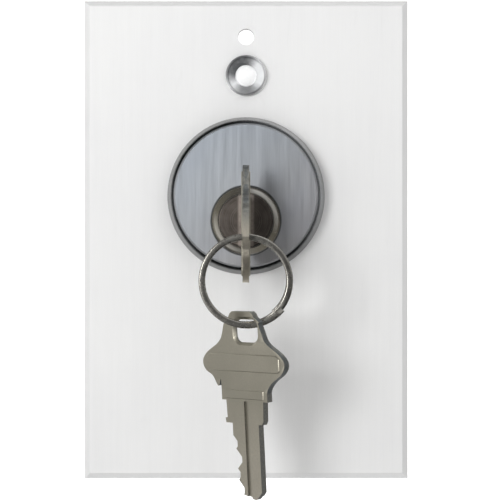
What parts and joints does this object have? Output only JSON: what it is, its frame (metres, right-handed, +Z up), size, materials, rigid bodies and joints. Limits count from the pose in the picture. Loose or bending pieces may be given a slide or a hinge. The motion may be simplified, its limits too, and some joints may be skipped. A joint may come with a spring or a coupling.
{
  "type": "selector key switch",
  "caption": "Wall-plate selector key switch: keyed lock cylinder in a chrome collar, indicator lamp above, key ring with a spare key, contact blocks behind.",
  "frame": {"origin": "centre of the face plate's back face, on the wall plane", "axes": "+X right and +Z up as seen from the room, +Y into the wall"},
  "size_m": [0.0774, 0.0765, 0.1159],
  "materials": {
    "plate_metal": "fine satin, nearly white stainless",
    "cylinder_face": "satin chrome with a vertical brushed grain",
    "bright_chrome": "polished chrome",
    "collar_chrome": "polished chrome, dark reflections",
    "plug_metal": "dull satin nickel over brass",
    "key_metal": "nickel silver, warm grey, lightly worn",
    "ring_steel": "nickel-plated spring steel",
    "zinc_steel": "zinc-plated sheet and hardware",
    "brass": "turned brass",
    "contact_metal": "silver-faced brass strip",
    "spring_steel": "music wire and spring strip",
    "block_plastic": "dark grey moulded thermoset",
    "plunger_plastic": "off-white acetal",
    "lamp_clear": "clear epoxy lamp body",
    "lamp_black": "black nylon retainer",
    "wire_red": "PVC insulation",
    "lead_tin": "tinned lead wire"
  },
  "bodies": {
    "housing": {"face_plate": "plate_metal", "lamp_bezel": "bright_chrome", "lamp_lens": "lamp_clear", "lamp_nut": "bright_chrome", "lamp_retainer": "lamp_black", "lamp_leads": "lead_tin", "lamp_wires": "wire_red", "spring_washer": "spring_steel", "cylinder_body": "cylinder_face", "driver_pins": "brass", "pin_springs": "spring_steel", "chamber_caps": "brass", "lock_ring": "zinc_steel", "switch_bracket": "zinc_steel", "contact_block_left": "block_plastic", "contact_block_right": "block_plastic", "plunger_spring_left": "spring_steel", "plunger_spring_right": "spring_steel", "terminals_left": "contact_metal", "terminals_right": "contact_metal", "terminal_screws": "zinc_steel", "block_screws": "zinc_steel", "detent_spring": "spring_steel", "detent_screw": "zinc_steel"},
    "collar": {"trim_collar": "collar_chrome"},
    "plug": {"cylinder_plug": "plug_metal", "bottom_pins": "brass", "plug_cam": "zinc_steel", "cam_screws": "zinc_steel"},
    "key": {"operating_key": "key_metal"},
    "ring": {"key_ring": "ring_steel"},
    "spare": {"spare_key": "key_metal"},
    "plunger_l": {"plunger_left": "plunger_plastic", "contact_bridge_left": "contact_metal"},
    "plunger_r": {"plunger_right": "plunger_plastic", "contact_bridge_right": "contact_metal"}
  },
  "joints": [
    {"name": "plug_turn", "type": "hinge", "parent": "housing", "child": "plug", "pos_m": [0, 0, 0.00445], "axis": [0, 1, 0], "range_deg": [-45, 45], "deforming": ["detent_spring"]},
    {"name": "key_slide", "type": "slide", "parent": "plug", "child": "key", "axis": [0, -1, 0], "range_m": [0, 0.024], "deforming": ["bottom_pins", "driver_pins", "pin_springs"]},
    {"name": "ring_hang", "type": "hinge", "parent": "key", "child": "ring", "pos_m": [0, -0.0288, 0.00045], "axis": [0, 1, 0], "range_deg": [-46, 46]},
    {"name": "spare_key_swing", "type": "hinge", "parent": "ring", "child": "spare", "pos_m": [0, -0.0288, -0.01935], "axis": [1, 0, 0], "range_deg": [-60, 4]},
    {"name": "plunger_left_slide", "type": "slide", "parent": "housing", "child": "plunger_l", "axis": [1, 0, 0], "range_m": [-0.0013, 0.0013], "deforming": ["plunger_spring_left"]},
    {"name": "plunger_right_slide", "type": "slide", "parent": "housing", "child": "plunger_r", "axis": [1, 0, 0], "range_m": [-0.0013, 0.0013], "deforming": ["plunger_spring_right"]},
    {"name": "collar_spin", "type": "hinge", "parent": "housing", "child": "collar", "pos_m": [0, 0, 0.0104], "axis": [0, 1, 0], "continuous": true}
  ],
  "couplings": [
    {"joint": "ring_hang", "follows": "plug_turn", "ratio": -1},
    {"joint": "plunger_left_slide", "follows": "plug_turn", "m_per_rad": 0.0016},
    {"joint": "plunger_right_slide", "follows": "plug_turn", "m_per_rad": 0.0016}
  ]
}
